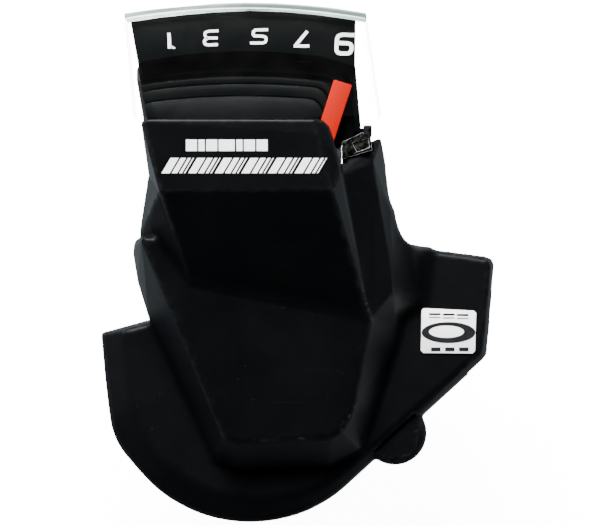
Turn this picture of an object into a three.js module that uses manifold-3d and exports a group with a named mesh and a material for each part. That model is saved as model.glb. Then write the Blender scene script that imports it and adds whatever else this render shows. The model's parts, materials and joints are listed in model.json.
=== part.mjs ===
// Rapid-fire thumb shifter for a nine-speed bicycle, right-hand side, in millimetres.
// Frame: origin at the centre of the handlebar clamp, +X along the handlebar towards the
// stem, +Y towards the rider, +Z up. The main axle is parallel to Z and stands forward of
// the bar. The top cover rises over the bar and carries the gear display on the rider's side.
import * as THREE from 'three';
import { ConvexGeometry } from 'three/addons/geometries/ConvexGeometry.js';
import { ConvexHull } from 'three/addons/math/ConvexHull.js';
import { mergeVertices } from 'three/addons/utils/BufferGeometryUtils.js';
import Module from 'manifold-3d';

const wasm = await Module();
wasm.setup();

// ---------------------------------------------------------------- driving dimensions
const BAR_R = 11.1; // 22.2 mm handlebar
const BAR_CLEAR_R = 11.8; // room the plastics leave round the bar
const BAND_R = 14.3; // outside of the clamp band
const BAND_X0 = 2.0, BAND_X1 = 12.0; // clamp band, 10 mm wide
const AX = -2.5, AY = -33.7; // main axle
const AXLE_R = 3.0;
const WALL = 1.7; // cover wall
const PLATE_T = 1.8; // steel base bracket
const DRUM_R = 10.5, CABLE_Z = -4.8, CABLE_R = 9.6; // winder drum and the cable's line
const CLICKS = 8; // nine positions
const CLICK_DEG = 18; // winder travel per click
const NEEDLE_REST_DEG = 72.2; // needle direction at gear 9, measured from +X
const NEEDLE_TIP_R = 47.9;
const MAIN_DEG = 104, RELEASE_DEG = 76; // lever directions at rest, measured from +X
const ADJ_X0 = 13.5, ADJ_X1 = 20.5; // cable stop boss on the bracket
const STEM_R = 2.5; // M5 thread of the barrel adjuster
const ADJ_Y = AY + CABLE_R, ADJ_Z = CABLE_Z;
const GAP = 0.3;

// Corner points of the cover's faces.
const FLANGE_EDGE = [[-24.72, -25.42], [-24.5, -27.4], [-24.3, -29.9], [-24.11, -32.33], [-23.82, -34.8], [-23.53, -37.24], [-23.17, -39.54], [-22.53, -41.54], [-21.5, -43.4], [-20, -45.25], [-17.83, -47.7], [-15.82, -49.6], [-13.6, -51.16], [-10.85, -52.62], [-8.12, -53.62], [-5.05, -54.28], [-1.83, -54.51], [1.24, -54.3], [4.16, -53.72], [6.77, -52.85], [9.07, -51.72], [11.37, -50.25], [13.35, -48.6], [15.6, -46.45], [32.5, -30.5], [33.95, -29.75], [34.66, -28.8], [34.87, -27], [35.78, -15], [35.62, -14.2], [35.02, -13.72], [34.1, -13.45], [31.02, -13.08], [26.4, -12.47], [23.2, -12.15], [-16.9, -23.6]];
const FLANGE_TOP = [[-20.7, -24.95], [-20.1, -32.54], [-19.1, -38.3], [-17.2, -42.9], [-13.2, -46.75], [-7.8, -49.75], [-1.4, -50.95], [5.08, -50.25], [10.42, -48], [14.5, -44.9], [17.4, -42.4], [24.78, -35.9], [31.9, -29.3], [33.4, -28.3], [33.9, -24.91], [34.85, -15.4], [34.3, -14.2], [31, -13.65], [26.4, -13.05], [23.2, -12.75], [-16.3, -24]];
const FLANGE_Z0 = -1.0, FLANGE_ZE = 0.9, FLANGE_Z1 = 3.0;
const WEDGE = [[-17.77, -10.81, 14], [-5.56, -40.92, 10.1], [-3.92, -41.68, 9.9], [10.34, -40.96, 9.5], [12.15, -39.91, 9.4], [13.64, -37.04, 9.7], [16.23, -23.2, 11], [13.6, -11.24, 11.8], [-19.65, -12, 2.5], [-19.2, -10.75, 2.5], [-19.75, -13.6, 2.5], [-19.0, -18, 2.5], [-17.25, -23.7, 2.5], [-7.31, -45.25, 2.5], [-3.33, -46.78, 2.5], [10.43, -46.17, 2.5], [15.32, -43.57, 2.5], [18.38, -35.62, 2.5], [21.74, -24.92, 2.5], [20.52, -12.69, 2.5]];
const UPPER = [[-17.3, 5.9, 22], [-16.3, 6.3, 22], [7.9, 6.25, 22], [8.44, 4.08, 22], [10.63, -4.33, 21.2], [-14.72, -4.18, 21.2], [8.89, 6.33, 20.8], [10.06, 5.33, 20.4], [11.52, 0.67, 20.2], [11.82, -1.67, 20], [16.24, -23.21, 10.6], [-10.55, -17.65, 12.9], [-17.3, 6.1, 12.2], [-16.78, -1.5, 12.2], [-15.9, -5.2, 12.2], [9.11, 6.36, 12.2], [11.95, 0.69, 12.2], [16.09, -23.27, 8], [-10.45, -17.69, 8]];
const SHOULDER = [[-16.78, -1.5, 12.2], [-14.9, -4.3, 20.6], [-16.09, -5.49, 15], [-16.53, -9.4, 13.5], [-17.05, -8.7, 12.6], [-10.6, -17.6, 12.8], [-12.5, -4.3, 20.6], [-10.5, -10, 13], [-16.78, -1.5, 9], [-17.05, -8.7, 9], [-10.5, -17.6, 9], [-12, -1.5, 12.2], [-12, -1.5, 9]];
const ARM = [[11.85, -1.67, 19.5], [11.88, -0.2, 18.2], [16.6, 0.45, 16.5], [17.7, -5.3, 14.1], [19.3, -14.5, 10.5], [19.9, -19, 8.9], [16.2, -23.3, 10.5], [11.63, 1.54, 13.2], [17.86, 4.03, 14], [19.15, -6.3, 11.8], [20.3, -12, 8], [20.9, -12, 4], [22.35, -20.33, 2.5], [20.82, -27.21, 2.5], [12.72, -26.45, 2.5], [10.31, -0.8, 12], [12.72, -12.69, 2.5], [20.9, -12.38, 2.5]];
// Web in the corner between the arm and the wing; its free edge is a fillet about FILLET.
const WEB = [[17.6, -5, 12.6], [17.6, -16, 10.5], [22.2, -10.0, 8.2], [22.2, -16, 7.6], [25.6, -12.5, 3.1], [25.6, -17, 3.0], [17.6, -5, 0.95], [17.6, -16, 0.95], [25.6, -12.5, 0.95], [25.6, -17, 0.95]];
const FILLET = [25.35, -6.95, 5.6];
// Screw ear: a round lobe with a D-shaped flat sunk into the flange's slope.
const EAR = [20.38, -40.76];
const EAR_R = 4.9, EAR_FLAT_R = 4.15, EAR_TOP = 1.9, EAR_DEG = -46.7, EAR_STEP = -0.28;
// Display: number band, stepped floor and window, in plan.
const BAND_OUT = [[-19.05, 20.75], [-14.73, 21.38], [-11.06, 21.78], [-6.65, 22.13], [-1.51, 22.33], [3.62, 22.18], [8.76, 21.7], [13.99, 20.95]];
const BAND_IN = [[13.9, 14.25], [8.76, 15.72], [3.62, 16.23], [-1.51, 16.45], [-6.65, 16.3], [-11.06, 15.94], [-14.73, 15.35], [-18.0, 14.84]];
const WINDOW_OUT = [[-18.5, 6.6], [17.66, 6.9], [17.37, 9.0], [15.47, 21.86], [10.94, 22.59], [6.56, 23.02], [2.17, 23.32], [-2.21, 23.39], [-6.59, 23.24], [-10.98, 22.88], [-15.36, 22.44], [-19.85, 21.8]];
const SCREWS = [[21.3, -41.75], [-17.0, -33.6], [15.6, -15.9]]; // cover screws, from below
const RIVETS = [[4.6, -18.9], [9.4, -18.9]];

// ---------------------------------------------------------------- helpers
const V = (p) => new THREE.Vector3(p[0], p[1], p[2]);
const rad = (d) => (d * Math.PI) / 180;

// A closed BufferGeometry as a manifold-3d solid, its faces turned out.
function solid(geometry) {
  const g = geometry.clone();
  for (const name of Object.keys(g.attributes)) if (name !== 'position') g.deleteAttribute(name);
  const m = mergeVertices(g, 1e-4);
  const make = (t) => new wasm.Manifold(new wasm.Mesh({ numProp: 3, vertProperties: new Float32Array(m.attributes.position.array), triVerts: t }));
  const t = new Uint32Array(m.index.array);
  const s = make(t);
  if (s.volume() > 0) return s;
  for (let i = 0; i < t.length; i += 3) [t[i + 1], t[i + 2]] = [t[i + 2], t[i + 1]];
  return make(t);
}
function geometryOf(s) {
  const m = s.getMesh(), n = m.numProp, v = new Float32Array((m.vertProperties.length / n) * 3);
  for (let i = 0; i < v.length / 3; i++) v.set(m.vertProperties.subarray(i * n, i * n + 3), i * 3);
  const g = new THREE.BufferGeometry().setAttribute('position', new THREE.BufferAttribute(v, 3)).setIndex(new THREE.BufferAttribute(new Uint32Array(m.triVerts), 1));
  g.computeVertexNormals();
  return g;
}
const cyl = (r, z0, z1, x = 0, y = 0, n = 28, r2 = r) => solid(new THREE.CylinderGeometry(r2, r, z1 - z0, n).rotateX(Math.PI / 2).translate(x, y, (z0 + z1) / 2));
const cylX = (r, x0, x1, y, z, n = 28) => solid(new THREE.CylinderGeometry(r, r, x1 - x0, n).rotateZ(Math.PI / 2).translate((x0 + x1) / 2, y, z));
const box = (x0, x1, y0, y1, z0, z1) => solid(new THREE.BoxGeometry(x1 - x0, y1 - y0, z1 - z0).translate((x0 + x1) / 2, (y0 + y1) / 2, (z0 + z1) / 2));
const hull = (points) => solid(new ConvexGeometry(points.map(V)));
// A flat plate of the given outline.
function plate(outline, z0, z1, holes = []) {
  const s = new THREE.Shape(outline.map((p) => new THREE.Vector2(p[0], p[1])));
  for (const h of holes) {
    const q = new THREE.Path();
    q.absarc(h[0], h[1], h[2], 0, Math.PI * 2, true);
    s.holes.push(q);
  }
  return solid(new THREE.ExtrudeGeometry(s, { depth: z1 - z0, bevelEnabled: false, curveSegments: 14 }).translate(0, 0, z0));
}
// A turned ring or body about Z from its closed (r, z) profile.
function turned(profile, x = 0, y = 0, n = 28) {
  const p = profile.map((q) => new THREE.Vector2(q[0], q[1]));
  if (profile[0][0] > 1e-6 || profile[profile.length - 1][0] > 1e-6) p.push(p[0].clone());
  return solid(new THREE.LatheGeometry(p, n).rotateX(Math.PI / 2).translate(x, y, 0));
}
const ring = (ri, ro, z0, z1, x = AX, y = AY, n = 28) => turned([[ri, z0], [ro, z0], [ro, z1], [ri, z1]], x, y, n);
// The same body about an X axis: profile is (r, x).
function turnedX(profile, y, z, n = 28) {
  const p = profile.map((q) => new THREE.Vector2(q[0], q[1]));
  if (profile[0][0] > 1e-6 || profile[profile.length - 1][0] > 1e-6) p.push(p[0].clone());
  return solid(new THREE.LatheGeometry(p, n).rotateZ(-Math.PI / 2).translate(0, y, z));
}
const cup = (list) => list.reduce((a, b) => a.add(b));
const cut = (a, ...list) => list.reduce((s, b) => s.subtract(b), a);
// Outward planes of a convex hull, and the hull between a set of planes.
function planesOf(points) {
  const h = new ConvexHull().setFromPoints(points.map(V)), out = [];
  for (const f of h.faces) {
    const n = f.normal.clone(), d = n.dot(f.midpoint);
    if (!out.some((q) => q.n.dot(n) > 0.9995 && Math.abs(q.d - d) < 0.05)) out.push({ n, d });
  }
  return out;
}
function between(planes) {
  const pts = [];
  for (let i = 0; i < planes.length; i++)
    for (let j = i + 1; j < planes.length; j++)
      for (let k = j + 1; k < planes.length; k++) {
        const a = planes[i], b = planes[j], c = planes[k];
        const bc = b.n.clone().cross(c.n), det = a.n.dot(bc);
        if (Math.abs(det) < 1e-5) continue;
        const p = bc.multiplyScalar(a.d).add(c.n.clone().cross(a.n).multiplyScalar(b.d)).add(a.n.clone().cross(b.n).multiplyScalar(c.d)).divideScalar(det);
        if (planes.every((q) => q.n.dot(p) <= q.d + 1e-4) && !pts.some((q) => q.distanceTo(p) < 1e-3)) pts.push(p);
      }
  return solid(new ConvexGeometry(pts));
}
// The room inside a hull whose wall is t thick, open downwards to z0.
function room(points, t, z0, keep = () => true, extra = []) {
  const p = planesOf(points).filter((q) => q.n.z > -0.35 && keep(q)).map((q) => ({ n: q.n, d: q.d - t }));
  return between([...p, { n: new THREE.Vector3(0, 0, -1), d: -z0 }, ...extra]);
}
const polar = (r, deg, x = AX, y = AY) => [x + r * Math.cos(rad(deg)), y + r * Math.sin(rad(deg))];
// Turns a solid about the vertical line through (x, y).
const turn = (s, deg, x = AX, y = AY) => s.translate([-x, -y, 0]).rotate([0, 0, deg]).translate([x, y, 0]);
// A plate that follows a line with round ends: the union of discs and bars.
function link(points, w, z0, z1, n = 16) {
  const list = [];
  for (let i = 0; i < points.length; i++) {
    const p = points[i], r = (p[2] ?? w) / 2;
    list.push([p[0], p[1], r]);
  }
  let s = null;
  for (let i = 0; i + 1 < list.length; i++) {
    const pts = [];
    for (const [x, y, r] of [list[i], list[i + 1]])
      for (let k = 0; k < n; k++) for (const z of [z0, z1]) pts.push([x + r * Math.cos((2 * Math.PI * k) / n), y + r * Math.sin((2 * Math.PI * k) / n), z]);
    const h = hull(pts);
    s = s ? s.add(h) : h;
  }
  return s;
}
// A toothed plate: saw teeth over part of its edge.
function ratchet(rTip, rRoot, pitch, from, to, lean, z0, z1) {
  const pts = [];
  for (let a = 0; a < 360; a += pitch) {
    const inside = a >= from && a < to;
    if (inside) {
      pts.push(polar(rRoot, a), polar(rTip, a + pitch * lean), polar(rTip, a + pitch * lean + 1.5));
    } else {
      pts.push(polar(rRoot, a), polar(rRoot, a + pitch / 2));
    }
  }
  return cut(plate(pts, z0, z1), cyl(AXLE_R + 0.3, z0 - 1, z1 + 1, AX, AY));
}
// A coil spring of round wire about a vertical line, with straight legs.
function coil(radius, wire, z0, z1, turns, x, y, legs = [0, 0], start = 0, steps = 12) {
  const pts = [], n = Math.round(turns * steps);
  const at = (k) => {
    const a = rad(start) + (2 * Math.PI * k) / steps;
    return new THREE.Vector3(x + radius * Math.cos(a), y + radius * Math.sin(a), z0 + ((z1 - z0) * k) / n);
  };
  const first = at(0), last = at(n);
  const tangent = (k) => new THREE.Vector3(-Math.sin(rad(start) + (2 * Math.PI * k) / steps), Math.cos(rad(start) + (2 * Math.PI * k) / steps), 0);
  if (legs[0]) pts.push(first.clone().addScaledVector(tangent(0), -legs[0]));
  for (let k = 0; k <= n; k++) pts.push(at(k));
  if (legs[1]) pts.push(last.clone().addScaledVector(tangent(n), legs[1]));
  const path = new THREE.CurvePath();
  for (let k = 0; k + 1 < pts.length; k++) path.add(new THREE.LineCurve3(pts[k], pts[k + 1]));
  const curve = new THREE.CatmullRomCurve3(pts, false, 'centripetal');
  const s = new THREE.Shape();
  for (let k = 0; k < 6; k++) {
    const a = (Math.PI * k) / 3;
    if (k) s.lineTo((wire / 2) * Math.cos(a), (wire / 2) * Math.sin(a));
    else s.moveTo(wire / 2, 0);
  }
  return solid(new THREE.ExtrudeGeometry(s, { steps: pts.length * 1 + n, extrudePath: curve, bevelEnabled: false }));
}
// A hexagon prism about Z.
const hex = (af, z0, z1, x, y) => cyl(af / Math.sqrt(3), z0, z1, x, y, 6);

const group = new THREE.Group();
function add(name, s, colour, roughness, metalness = 0, opacity = 1) {
  const m = new THREE.Mesh(geometryOf(s), new THREE.MeshStandardMaterial({ color: colour, roughness, metalness, opacity, transparent: opacity < 1 }));
  m.name = name;
  group.add(m);
  return s;
}
const BLACK = '#15171a', SATIN = '#1d2024', STEEL = '#9aa0a6', DARK_STEEL = '#5b6066', ORANGE = '#f4511e', WHITE = '#eeeeee', CLEAR = '#dfe9e6', GREY = '#3c4046';

// ---------------------------------------------------------------- outline of the bracket
// The base bracket in plan, grown by g all round.
const disc = (x, y, r, z0, z1) => cyl(r, z0, z1, x, y, 32);
function bracketPlan(g, z0, z1) {
  return cup([
    disc(AX, AY, 16.4 + g, z0, z1),
    link([[AX, AY, 12 + 2 * g], [SCREWS[0][0], SCREWS[0][1], 7.0 + 2 * g]], 8, z0, z1),
    link([[AX + 4, AY + 6, 16 + 2 * g], [SCREWS[2][0], SCREWS[2][1], 7.0 + 2 * g]], 8, z0, z1),
    link([[8, -30, 8 + 2 * g], [16.8, -32.2, 7.0 + 2 * g]], 8, z0, z1),
    box(2.6 - g, 11.4 + g, -26, -15.0 + g, z0, z1),
  ]);
}

// ---------------------------------------------------------------- top cover
const flangeHull = hull([...FLANGE_EDGE.map((p) => [p[0], p[1], FLANGE_Z0]), ...FLANGE_EDGE.map((p) => [p[0], p[1], FLANGE_ZE]), ...FLANGE_TOP.map((p) => [p[0], p[1], FLANGE_Z1])]);
const flangePoints = [...FLANGE_EDGE.map((p) => [p[0], p[1], FLANGE_Z0]), ...FLANGE_EDGE.map((p) => [p[0], p[1], FLANGE_ZE]), ...FLANGE_TOP.map((p) => [p[0], p[1], FLANGE_Z1])];
const web = cut(hull(WEB), cyl(FILLET[2], -2, 20, FILLET[0], FILLET[1], 40));
const ear = cup([cyl(EAR_R, FLANGE_Z0, EAR_TOP - 0.7, EAR[0], EAR[1], 32), cyl(EAR_R, EAR_TOP - 0.7, EAR_TOP, EAR[0], EAR[1], 32, EAR_FLAT_R)]);
const earFlat = cyl(EAR_FLAT_R, EAR_TOP, 5, EAR[0], EAR[1], 32).intersect(turn(box(EAR[0] + EAR_STEP, EAR[0] + 9, EAR[1] - 9, EAR[1] + 9, EAR_TOP, 5), EAR_DEG, EAR[0], EAR[1]));
const outer = cut(cup([flangeHull, hull(WEDGE), hull(UPPER), hull(SHOULDER), hull(ARM), web, ear]), earFlat);
const inner = cup([
  room(flangePoints, WALL, -6),
  room(WEDGE, WALL, -6),
  room(UPPER, WALL, 10.2, (q) => q.n.y < 0.6, [{ n: new THREE.Vector3(0, 1, 0), d: 9 }]),
  room(ARM, WALL, -6),
]).subtract(box(12.2, 18.5, -1.5, 6, 12.2, 14.6)); // solid under the snap tab's pocket
let cover = cut(
  outer,
  inner,
  cylX(BAR_CLEAR_R, -40, 40, 0, 0, 48), // the handlebar passes under
  cylX(BAND_R + 0.8, BAND_X0 - 1, BAND_X1 + 1, 0, 0, 48), // room for the clamp band
  box(-15.2, 9, 1.2, 9, 12.0, 18.9), // mouth for the display's floor and the needle
  box(7.5, 12.8, 0.0, 9, 12.0, 18.9), // the needle's way out at gear nine
  box(19.5, 40, -31.5, -10, -3, FLANGE_ZE), // the wing has no skirt: the adjuster comes out there
  plate([[11.7, 3.4], [16.0, 5.5], [16.75, 5.5], [16.75, 1.75], [11.7, 0.2]], 14.6, 24), // pocket for the window's snap tab
);
cover = cover.subtract(bracketPlan(0.4, -3, 0.3));
const bossTop = [EAR_TOP, 1.9, 8.5];
SCREWS.forEach(([x, y], i) => {
  const b = cyl(2.75, 0.3, bossTop[i], x, y, 20);
  cover = cover.add(b);
});
SCREWS.forEach(([x, y], i) => {
  cover = cover.subtract(cyl(1.6, -3, i === 2 ? 6.5 : i === 1 ? 1.5 : 1.15, x, y, 16));
});
cover = cover.decompose().sort((a, b) => b.volume() - a.volume())[0];
add('top_cover', cover, BLACK, 0.62);

// ---------------------------------------------------------------- gear display
// Floor of the display: a number band with a stepped well in front of it.
const arc = (pts, z0, z1) => plate(pts, z0, z1);
const DIAL_Z0 = 13.4;
const dialOutline = [...BAND_OUT, [14.0, 14.4], [14.85, 5.3], [16.35, 5.3], [16.4, 4.0], [13.1, 2.65], [9.1, 2.65], [8.7, 3.0], [-14.9, 3.0], [-14.9, 6.6], [-16.8, 6.6], [-18.2, 14.9]];
const leftSide = (y) => -16.86 - (y - 6.83) * 0.178;
// Each step is a terrace whose far edge is an arc and whose right end turns down.
const step = (yMid, sag, xr, zTop, z0 = DIAL_Z0 + 0.1) => {
  const pts = [], r = 2.2;
  for (let k = 0; k <= 10; k++) {
    const x = -18.4 + ((xr - r + 18.4) * k) / 10, u = (x + 2.3) / 14.5, y = yMid - sag * u * u;
    pts.push([Math.max(x, leftSide(y)), y]);
  }
  const last = pts[pts.length - 1];
  for (let k = 1; k <= 4; k++) {
    const a = rad(90 - 20 * k);
    pts.push([last[0] + r * Math.cos(a), last[1] - r + r * Math.sin(a)]);
  }
  pts.push([xr + 0.3, 6.9], [8.6, 6.9], [8.6, 3.1], [-14.8, 3.1], [-14.8, 6.65], [-16.7, 6.65]);
  return plate(pts.reverse(), z0, zTop);
};
// Far edge, right end and height of each terrace, and the groove kept in front of the next one.
const TERRACES = [[15.2, 1.1, 12.75, 15.3, 0.85], [12.8, 1.05, 10.6, 15.5, 0.28], [11.75, 1.0, 9.85, 15.8, 0.28], [9.9, 0.9, 9.1, 16.15, 0]];
const terraces = TERRACES.map(([y, sag, xr, z], i) => {
  const s = step(y, sag, xr, z), next = TERRACES[i + 1];
  return next ? s.subtract(step(next[0] + TERRACES[i][4], next[1], next[2] + TERRACES[i][4], 20, 14.5)) : s;
});
let dial = cup([
  plate(dialOutline, DIAL_Z0, 14.5),
  plate([...BAND_OUT, ...BAND_IN], DIAL_Z0, 18.3),
  plate([[13.05, 14.6], [14.0, 14.4], [14.85, 4.8], [13.9, 4.8]], DIAL_Z0, 16.4),
  ...terraces,
]);
dial = dial.subtract(cylX(BAND_R + 0.4, BAND_X0 - 0.6, BAND_X1 + 0.6, 0, 0, 48));
dial = dial.decompose().sort((a, b) => b.volume() - a.volume())[0];
add('display_floor', dial, SATIN, 0.5);

// Clear window over the display: a top, an arched rim and two sides.
const winInner = WINDOW_OUT.map(([x, y]) => [x > 0 ? x - 1.1 : x + (y > 8 ? 0.6 : 1.0), y > 8 ? y - 0.75 : y - 3]);
const windowHull = plate(WINDOW_OUT, 13.4, 20.1);
let clear = cut(windowHull, plate(winInner, 12, 19.0));
clear = clear.add(plate([[-14.9, 4.6], [6.4, 4.6], [6.4, 7.4], [-14.9, 7.4]], 18.95, 19.85));
// Snap tab at the right end, sunk flat on top.
clear = clear.add(hull([[15.2, 7.2, 14.9], [16.4, 7.2, 14.9], [15.2, 7.2, 18.2], [16.4, 7.2, 18.2], [15.2, 4.0, 14.9], [16.4, 4.0, 14.9], [15.2, 4.0, 17.4], [16.4, 4.0, 17.4]]));
clear = clear.add(plate([[12.0, 3.1], [16.15, 5.05], [16.42, 1.95], [12.0, 0.6]].reverse(), 14.9, 17.4));
clear = clear.subtract(plate([[13.5, 3.05], [15.9, 3.7], [16.05, 2.3], [14.2, 1.65]].reverse(), 17.0, 18));
add('display_window', clear, CLEAR, 0.05, 0, 0.3);

// Needle: one orange arm on the main axle, cranked up over the clamp band.
const needleSide = [[5.0, 1.3], [8.6, 1.3], [12.6, 4.6], [19.2, 10.6], [24.0, 13.2], [29.5, 15.7], [33.5, 16.7], [NEEDLE_TIP_R, 16.7], [NEEDLE_TIP_R, 17.8], [33.3, 17.8], [29.0, 16.9], [23.3, 14.4], [18.4, 11.8], [11.8, 5.8], [8.2, 2.5], [5.0, 2.5]];
const needleArm = (() => {
  const s = new THREE.Shape(needleSide.map((p) => new THREE.Vector2(p[0], p[1])));
  return solid(new THREE.ExtrudeGeometry(s, { depth: 2.8, bevelEnabled: false }).translate(0, 0, -1.4).rotateX(Math.PI / 2));
})();
let needle = cup([turn(needleArm.translate([AX, AY, 0]), NEEDLE_REST_DEG), cyl(5.6, 1.3, 2.9, AX, AY, 32)]);
needle = needle.subtract(cyl(AXLE_R + 0.3, 0, 4, AX, AY, 28));
add('indicator_needle', needle, ORANGE, 0.45);

// Badge on the wing.
add('wing_badge', plate([[24.72, -21.57], [32.35, -21.94], [32.73, -22.31], [32.55, -28.1], [32.2, -28.48], [24.66, -28.41], [24.28, -28.03], [24.4, -21.93]], 3.05, 3.25), WHITE, 0.4);

// ---------------------------------------------------------------- base bracket and axle
let bracket = bracketPlan(0, -PLATE_T, 0);
bracket = cut(
  bracket,
  cyl(AXLE_R + 0.15, -3, 3, AX, AY, 28),
  ...SCREWS.map(([x, y]) => cyl(1.7, -3, 3, x, y, 16)),
  cyl(1.35, -3, 3, RIVETS[0][0], RIVETS[0][1], 14),
  cyl(1.35, -3, 3, RIVETS[1][0], RIVETS[1][1], 14),
  cyl(1.3, -3, 3, 16.8, -32.2, 14),
  box(ADJ_X0 - 0.4, 24, ADJ_Y - 4.8, ADJ_Y + 4.8, -3, 3), // the cable stop's notch
  cylX(BAND_R + 0.5, BAND_X0 - 1.5, BAND_X1 + 0.7, 0, 0, 48),
);
add('base_bracket', bracket, STEEL, 0.35, 1);

// Axle: collar on the bracket, journal above for the needle and below for the levers.
const axle = turned([[0, -23.6], [2.6, -23.6], [AXLE_R, -23.2], [AXLE_R, 0.2], [5.0, 0.2], [5.0, 1.0], [AXLE_R, 1.0], [AXLE_R, 3.4], [2.5, 3.4], [2.5, 4.0], [AXLE_R, 4.0], [2.6, 4.5], [0, 4.5]], AX, AY, 28);
add('main_axle', axle, STEEL, 0.3, 1);
const clip = cut(ring(2.7, 4.4, 3.45, 3.95), box(AX - 1.1, AX + 1.1, AY, AY + 6, 3, 5));
add('needle_circlip', clip, DARK_STEEL, 0.4, 1);

// ---------------------------------------------------------------- cable winder
const drumProfile = [[AXLE_R + 0.3, -7.6], [DRUM_R, -7.6], [DRUM_R, -6.2], [9.0, -5.3], [9.0, -4.3], [DRUM_R, -3.4], [DRUM_R, -2.1], [AXLE_R + 0.3, -2.1]];
let drum = turned(drumProfile, AX, AY, 40);
const nipple = polar(8.4, 96);
drum = cut(drum, cyl(2.0, -8, CABLE_Z + 2.3, nipple[0], nipple[1], 16), turn(box(AX + 7.0, AX + 12, AY - 0.9, AY + 0.9, -5.6, -4.0), 84));
add('cable_drum', drum, GREY, 0.5);
add('index_ratchet', ratchet(13.0, 11.6, CLICK_DEG, 180, 360, 0.1, -9.3, -7.9), STEEL, 0.35, 1);
add('feed_ratchet', ratchet(12.0, 10.6, CLICK_DEG, 162, 342, 0.75, -11.0, -9.6), STEEL, 0.35, 1);
add('winder_return_spring', coil(6.6, 1.0, -14.6, -11.9, 2.5, AX, AY, [4, 4], 20), DARK_STEEL, 0.35, 1);

// ---------------------------------------------------------------- release lever
const relTip = polar(44, RELEASE_DEG);
let release = cup([
  disc(AX, AY, 7.2, -16.6, -15.4),
  link([[AX, AY, 10], [...polar(20, RELEASE_DEG), 6.4], [...relTip, 5.0]], 6, -16.6, -15.4),
  link([[AX, AY, 9], [...polar(14.5, 300), 4.2]], 5, -16.6, -15.4),
]);
release = release.subtract(cyl(AXLE_R + 0.3, -18, -14, AX, AY, 28));
add('release_lever', release, STEEL, 0.35, 1);
// Finger pad over its end, with a hook that rises on the rider's side of the bar.
const relPadLocal = cup([
  hull([[35.6, -3.8, -17.6], [35.6, 3.8, -17.6], [46.6, -4.6, -17.8], [46.6, 4.6, -17.8], [35.6, -3.8, -14.9], [35.6, 3.8, -14.9], [46.6, -4.6, -14.7], [46.6, 4.6, -14.7]]),
  hull([[45.2, -4.5, -15.6], [45.2, 4.5, -15.6], [48.6, -4.6, -15.9], [48.6, 4.6, -15.9], [46.9, -4.0, -12.5], [46.9, 4.0, -12.5], [49.0, -4.0, -12.5], [49.0, 4.0, -12.5]]),
]);
const relSlot = link([[AX, AY, 11], [...polar(20, RELEASE_DEG), 7.0], [...relTip, 5.6]], 6, -16.9, -15.1);
add('release_pad', cut(turn(relPadLocal.translate([AX, AY, 0]), RELEASE_DEG), relSlot), BLACK, 0.55);

// ---------------------------------------------------------------- main lever
const mainTip = polar(47, MAIN_DEG);
let mainArm = cup([
  disc(AX, AY, 8.2, -19.2, -17.6),
  link([[AX, AY, 13], [...polar(24, MAIN_DEG), 8.0], [...mainTip, 6.4]], 8, -19.2, -17.6),
  link([[AX, AY, 11], [...polar(15.6, 215), 6.2]], 6, -19.2, -17.6),
]);
mainArm = mainArm.subtract(cyl(AXLE_R + 0.3, -21, -16, AX, AY, 28)).subtract(cyl(1.35, -21, -16, ...polar(15.6, 215), 14));
add('main_lever', mainArm, STEEL, 0.35, 1);
const mainPadLocal = cup([
  hull([[33.5, -4.4, -20.6], [33.5, 4.4, -20.6], [44, -6.2, -21.4], [44, 6.2, -21.4], [33.5, -4.4, -16.9], [33.5, 4.4, -16.9], [44, -6.2, -16.9], [44, 6.2, -16.9]]),
  hull([[43.9, -6.2, -21.4], [43.9, 6.2, -21.4], [52.4, -5.4, -22.6], [52.4, 5.4, -22.6], [43.9, -6.2, -16.9], [43.9, 6.2, -16.9], [53.6, -5.0, -16.0], [53.6, 5.0, -16.0], [51.0, -5.6, -15.4], [51.0, 5.6, -15.4]]),
  hull([[39.5, -6.0, -24.4], [39.5, -3.8, -24.4], [52.0, -5.2, -25.2], [52.0, -3.2, -25.2], [37.5, -5.6, -20.6], [37.5, -3.4, -20.6], [52.4, -5.4, -21.6], [52.4, -3.2, -21.6]]),
]);
const mainSlot = link([[AX, AY, 14], [...polar(24, MAIN_DEG), 8.6], [...mainTip, 7.0]], 8, -19.5, -17.3);
add('thumb_pad', cut(turn(mainPadLocal.translate([AX, AY, 0]), MAIN_DEG), mainSlot), BLACK, 0.55);

// ---------------------------------------------------------------- pawls
const feedPin = polar(15.6, 215);
add('feed_pawl_pin', turned([[0, -20.6], [2.4, -20.6], [2.4, -19.5], [1.2, -19.5], [1.2, -9.9], [0, -9.9]], feedPin[0], feedPin[1], 18), STEEL, 0.3, 1);
const feedNose = polar(12.75, 236);
let feedPawl = cup([cyl(1.9, -11.0, -10.2, feedPin[0], feedPin[1], 20), link([[feedPin[0], feedPin[1], 4.6], [...polar(15.0, 228), 2.6], [feedNose[0], feedNose[1], 1.0]], 3, -11.0, -10.2, 12), cyl(1.9, -16.9, -11.0, feedPin[0], feedPin[1], 20)]);
feedPawl = feedPawl.subtract(cyl(1.4, -18, -9, feedPin[0], feedPin[1], 18));
add('feed_pawl', feedPawl, STEEL, 0.35, 1);
const holdPin = polar(16.2, 305);
add('holding_pawl_pin', turned([[0, -10.6], [2.2, -10.6], [2.2, -9.9], [1.2, -9.9], [1.2, -0.3], [0, -0.3]].map(([r, z]) => [r, z - 1.8]), holdPin[0], holdPin[1], 18), STEEL, 0.3, 1);
const holdNose = polar(13.75, 284);
let holdPawl = cup([cyl(1.9, -9.3, -2.4, holdPin[0], holdPin[1], 20), link([[holdPin[0], holdPin[1], 4.6], [...polar(16.0, 293), 3.0], [holdNose[0], holdNose[1], 1.0]], 3, -9.3, -7.9, 12)]);
holdPawl = holdPawl.subtract(cyl(1.4, -13, -1, holdPin[0], holdPin[1], 18));
add('holding_pawl', holdPawl, STEEL, 0.35, 1);
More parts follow.
